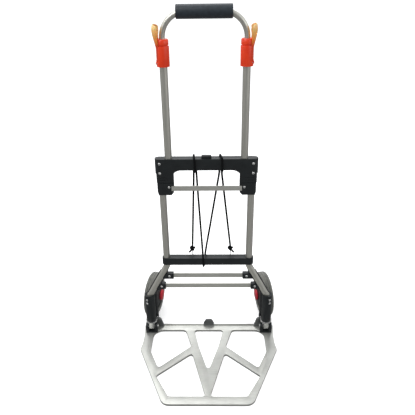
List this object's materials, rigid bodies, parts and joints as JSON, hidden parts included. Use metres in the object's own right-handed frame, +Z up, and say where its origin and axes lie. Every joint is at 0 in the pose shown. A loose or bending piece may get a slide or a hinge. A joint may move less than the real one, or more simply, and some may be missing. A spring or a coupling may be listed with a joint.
{
  "type": "hand truck",
  "caption": "Folding telescopic hand truck with a foam grip, lever clamps, a fold-up toe plate with cut-outs, swing-in wheels and an elastic tie cord.",
  "frame": {"origin": "on the ground below the middle of the truck's bounding box, with the handle pushed in, the upper frame pulled out and the toe plate down", "axes": "+X to the right seen from the toe plate's side, +Y from the toe plate towards the wheels, +Z up along the tubes"},
  "size_m": [0.4776, 0.53, 1.1105],
  "materials": {
    "tube": "satin anodised",
    "black_plastic": "moulded, fine grain",
    "grip_foam": "closed-cell foam",
    "red_plastic": "semi-gloss",
    "amber_plastic": "translucent semi-gloss",
    "plate": "cast, satin",
    "steel": "zinc plated",
    "tyre": "matte rubber",
    "rim_plastic": "moulded",
    "cord": "braided elastic"
  },
  "bodies": {
    "frame": {"lower_tube_left": "tube", "lower_tube_right": "tube", "crossbar": "black_plastic", "crossbar_cover": "black_plastic", "lower_bar": "black_plastic", "tie_bar_upper": "tube", "tie_bar_lower": "tube", "leg_rail_left": "black_plastic", "leg_rail_right": "black_plastic", "knuckle_left": "black_plastic", "knuckle_right": "black_plastic", "foot_left": "steel", "foot_right": "steel", "arm_pins": "steel", "frame_rivets": "steel", "cord": "cord", "cord_hook_left": "steel", "cord_hook_right": "steel"},
    "upper_frame": {"upper_tube_left": "tube", "upper_tube_right": "tube", "slider_left": "black_plastic", "slider_right": "black_plastic", "slider_rail": "tube", "slider_rivets": "steel", "clamp_left": "red_plastic", "clamp_right": "red_plastic", "clamp_pins": "steel"},
    "handle": {"handle_tube": "tube", "grip": "grip_foam", "handle_plugs": "black_plastic"},
    "lever_left": {"lever_left": "amber_plastic"},
    "lever_right": {"lever_right": "amber_plastic"},
    "release_button": {"release_button": "black_plastic"},
    "latch_left": {"latch_left": "steel"},
    "latch_right": {"latch_right": "steel"},
    "toe_plate": {"toe_plate": "plate", "clevis_left": "black_plastic", "clevis_right": "black_plastic", "plate_pins": "steel"},
    "wheel_arm_left": {"wheel_arm_left": "black_plastic", "axle_left": "steel", "axle_cap_left": "red_plastic"},
    "wheel_arm_right": {"wheel_arm_right": "black_plastic", "axle_right": "steel", "axle_cap_right": "red_plastic"},
    "wheel_left": {"tyre_left": "tyre", "rim_left": "rim_plastic", "hub_cap_left": "red_plastic"},
    "wheel_right": {"tyre_right": "tyre", "rim_right": "rim_plastic", "hub_cap_right": "red_plastic"}
  },
  "joints": [
    {"name": "upper_frame_slide", "type": "slide", "parent": "frame", "child": "upper_frame", "axis": [0, 0, 1], "range_m": [-0.225, 0]},
    {"name": "handle_slide", "type": "slide", "parent": "upper_frame", "child": "handle", "axis": [0, 0, 1], "range_m": [0, 0.2]},
    {"name": "lever_left_flip", "type": "hinge", "parent": "upper_frame", "child": "lever_left", "pos_m": [-0.131, 0.06598, 0.962], "axis": [0, -1, 0], "range_deg": [0, 100]},
    {"name": "lever_right_flip", "type": "hinge", "parent": "upper_frame", "child": "lever_right", "pos_m": [0.131, 0.06598, 0.962], "axis": [0, 1, 0], "range_deg": [0, 100]},
    {"name": "button_press", "type": "slide", "parent": "frame", "child": "release_button", "axis": [0, 0, -1], "range_m": [0, 0.005], "stiffness_N_per_m": 400, "springref_m": -0.001},
    {"name": "latch_left_slide", "type": "slide", "parent": "frame", "child": "latch_left", "axis": [1, 0, 0], "range_m": [0, 0.005]},
    {"name": "latch_right_slide", "type": "slide", "parent": "frame", "child": "latch_right", "axis": [-1, 0, 0], "range_m": [0, 0.005]},
    {"name": "toe_plate_fold", "type": "hinge", "parent": "frame", "child": "toe_plate", "pos_m": [0, 0.06298, 0.03], "axis": [-1, 0, 0], "range_deg": [0, 90]},
    {"name": "wheel_arm_left_fold", "type": "hinge", "parent": "frame", "child": "wheel_arm_left", "pos_m": [-0.19299, 0.09198, 0.084], "axis": [0, 0, -1], "range_deg": [0, 78]},
    {"name": "wheel_arm_right_fold", "type": "hinge", "parent": "frame", "child": "wheel_arm_right", "pos_m": [0.19299, 0.09198, 0.084], "axis": [0, 0, 1], "range_deg": [0, 78]},
    {"name": "wheel_left_spin", "type": "hinge", "parent": "wheel_arm_left", "child": "wheel_left", "pos_m": [-0.20702, 0.18083, 0.084], "axis": [0.9781, -0.2079, 0], "continuous": true},
    {"name": "wheel_right_spin", "type": "hinge", "parent": "wheel_arm_right", "child": "wheel_right", "pos_m": [0.20702, 0.18083, 0.084], "axis": [0.9781, 0.2079, 0], "continuous": true}
  ],
  "couplings": [
    {"joint": "latch_left_slide", "follows": "button_press", "ratio": 1},
    {"joint": "latch_right_slide", "follows": "button_press", "ratio": 1},
    {"joint": "wheel_arm_left_fold", "follows": "toe_plate_fold", "ratio": 0.86667},
    {"joint": "wheel_arm_right_fold", "follows": "toe_plate_fold", "ratio": 0.86667}
  ]
}
